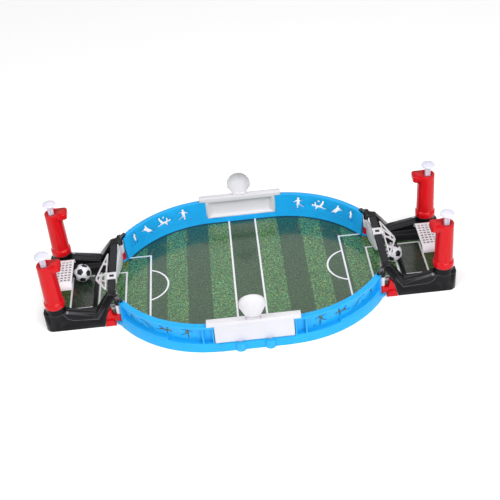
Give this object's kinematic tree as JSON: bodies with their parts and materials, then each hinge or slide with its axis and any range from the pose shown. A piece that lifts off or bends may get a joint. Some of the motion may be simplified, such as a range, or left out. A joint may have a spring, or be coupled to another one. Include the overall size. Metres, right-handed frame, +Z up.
{
  "type": "tabletop flipper football game",
  "caption": "Two-player tabletop football game: oval pitch inside curved walls, goal ends with button-driven flippers, grips, nets, score sliders, serve scoops and balls.",
  "frame": {"origin": "on the table under the centre spot, at the middle of the footprint", "axes": "+X from the west goal to the east goal, +Y from the near wall to the far wall, +Z up"},
  "size_m": [0.552, 0.298, 0.1203],
  "materials": {
    "board": "dark hardboard with a smooth skin",
    "turf_print": "laminated colour print of mown turf with white pitch lines, glossy",
    "floor_print": "laminated dark turf print, high gloss",
    "blue_plastic": "semi-gloss injection-moulded ABS",
    "white_plastic": "semi-gloss injection-moulded ABS",
    "net_plastic": "semi-gloss moulded sheet",
    "black_plastic": "semi-gloss ABS with soft edge highlights",
    "grey_plastic": "satin dark grey ABS",
    "red_plastic": "glossy injection-moulded ABS",
    "steel": "zinc-plated",
    "spring_wire": "drawn spring wire",
    "ball_plastic": "glossy white with black pentagons"
  },
  "bodies": {
    "table": {"pitch_board": "board", "pitch_sheet": "turf_print", "wall_far": "blue_plastic", "wall_near": "blue_plastic", "serve_panel_far": "white_plastic", "serve_panel_near": "white_plastic", "serve_scoop_far": "white_plastic", "serve_scoop_near": "white_plastic", "goal_frame_east": "black_plastic", "goal_frame_west": "black_plastic", "goal_floor_east": "floor_print", "goal_floor_west": "floor_print", "crossbar_east": "grey_plastic", "crossbar_west": "grey_plastic", "goal_net_east": "net_plastic", "goal_net_west": "net_plastic", "grip_east_far": "red_plastic", "grip_east_near": "red_plastic", "grip_west_far": "red_plastic", "grip_west_near": "red_plastic", "grip_collars": "black_plastic", "grip_screws": "steel", "rail_screws": "steel", "link_covers": "black_plastic", "pivot_pins": "steel", "bracket_east_far": "red_plastic", "bracket_east_near": "red_plastic", "bracket_west_far": "red_plastic", "bracket_west_near": "red_plastic", "pivot_cap_east_far": "black_plastic", "pivot_cap_east_near": "black_plastic", "pivot_cap_west_far": "black_plastic", "pivot_cap_west_near": "black_plastic", "spring_east_far": "spring_wire", "spring_east_near": "spring_wire", "spring_west_far": "spring_wire", "spring_west_near": "spring_wire"},
    "button_east_far": {"button_east_far": "white_plastic"},
    "link_east_far": {"link_east_far": "white_plastic"},
    "flipper_east_far": {"flipper_east_far": "white_plastic"},
    "button_east_near": {"button_east_near": "white_plastic"},
    "link_east_near": {"link_east_near": "white_plastic"},
    "flipper_east_near": {"flipper_east_near": "white_plastic"},
    "button_west_far": {"button_west_far": "white_plastic"},
    "link_west_far": {"link_west_far": "white_plastic"},
    "flipper_west_far": {"flipper_west_far": "white_plastic"},
    "button_west_near": {"button_west_near": "white_plastic"},
    "link_west_near": {"link_west_near": "white_plastic"},
    "flipper_west_near": {"flipper_west_near": "white_plastic"},
    "score_slider_east": {"score_slider_east": "white_plastic"},
    "score_slider_west": {"score_slider_west": "white_plastic"},
    "ball_east": {"ball_east": "ball_plastic"},
    "ball_west": {"ball_west": "ball_plastic"}
  },
  "joints": [
    {"name": "press_east_far", "type": "slide", "parent": "table", "child": "button_east_far", "axis": [0, 0, -1], "range_m": [0, 0.006], "stiffness_N_per_m": 150, "springref_m": -0.004, "deforming": ["spring_east_far"]},
    {"name": "push_east_far", "type": "slide", "parent": "table", "child": "link_east_far", "axis": [-1, 0, 0], "range_m": [0, 0.006]},
    {"name": "kick_east_far", "type": "hinge", "parent": "table", "child": "flipper_east_far", "pos_m": [0.176, 0.0665, 0.0246], "axis": [0, 0, -1], "range_deg": [0, 42]},
    {"name": "press_east_near", "type": "slide", "parent": "table", "child": "button_east_near", "axis": [0, 0, -1], "range_m": [0, 0.006], "stiffness_N_per_m": 150, "springref_m": -0.004, "deforming": ["spring_east_near"]},
    {"name": "push_east_near", "type": "slide", "parent": "table", "child": "link_east_near", "axis": [-1, 0, 0], "range_m": [0, 0.006]},
    {"name": "kick_east_near", "type": "hinge", "parent": "table", "child": "flipper_east_near", "pos_m": [0.176, -0.0665, 0.0246], "axis": [0, 0, 1], "range_deg": [0, 42]},
    {"name": "press_west_far", "type": "slide", "parent": "table", "child": "button_west_far", "axis": [0, 0, -1], "range_m": [0, 0.006], "stiffness_N_per_m": 150, "springref_m": -0.004, "deforming": ["spring_west_far"]},
    {"name": "push_west_far", "type": "slide", "parent": "table", "child": "link_west_far", "axis": [1, 0, 0], "range_m": [0, 0.006]},
    {"name": "kick_west_far", "type": "hinge", "parent": "table", "child": "flipper_west_far", "pos_m": [-0.176, 0.0665, 0.0246], "axis": [0, 0, 1], "range_deg": [0, 42]},
    {"name": "press_west_near", "type": "slide", "parent": "table", "child": "button_west_near", "axis": [0, 0, -1], "range_m": [0, 0.006], "stiffness_N_per_m": 150, "springref_m": -0.004, "deforming": ["spring_west_near"]},
    {"name": "push_west_near", "type": "slide", "parent": "table", "child": "link_west_near", "axis": [1, 0, 0], "range_m": [0, 0.006]},
    {"name": "kick_west_near", "type": "hinge", "parent": "table", "child": "flipper_west_near", "pos_m": [-0.176, -0.0665, 0.0246], "axis": [0, 0, -1], "range_deg": [0, 42]},
    {"name": "score_east", "type": "slide", "parent": "table", "child": "score_slider_east", "axis": [0, 1, 0], "range_m": [-0.015, 0.0075]},
    {"name": "score_west", "type": "slide", "parent": "table", "child": "score_slider_west", "axis": [0, 1, 0], "range_m": [0, 0.0225]},
    {"name": "roll_east", "type": "slide", "parent": "table", "child": "ball_east", "axis": [0, 1, 0], "range_m": [-0.024, 0.024]},
    {"name": "roll_west", "type": "slide", "parent": "table", "child": "ball_west", "axis": [0, -1, 0], "range_m": [0, 0.054]}
  ],
  "couplings": [
    {"joint": "push_east_far", "follows": "press_east_far", "ratio": 1},
    {"joint": "kick_east_far", "follows": "press_east_far", "rad_per_m": 122.17},
    {"joint": "push_east_near", "follows": "press_east_near", "ratio": 1},
    {"joint": "kick_east_near", "follows": "press_east_near", "rad_per_m": 122.17},
    {"joint": "push_west_far", "follows": "press_west_far", "ratio": 1},
    {"joint": "kick_west_far", "follows": "press_west_far", "rad_per_m": 122.17},
    {"joint": "push_west_near", "follows": "press_west_near", "ratio": 1},
    {"joint": "kick_west_near", "follows": "press_west_near", "rad_per_m": 122.17}
  ]
}
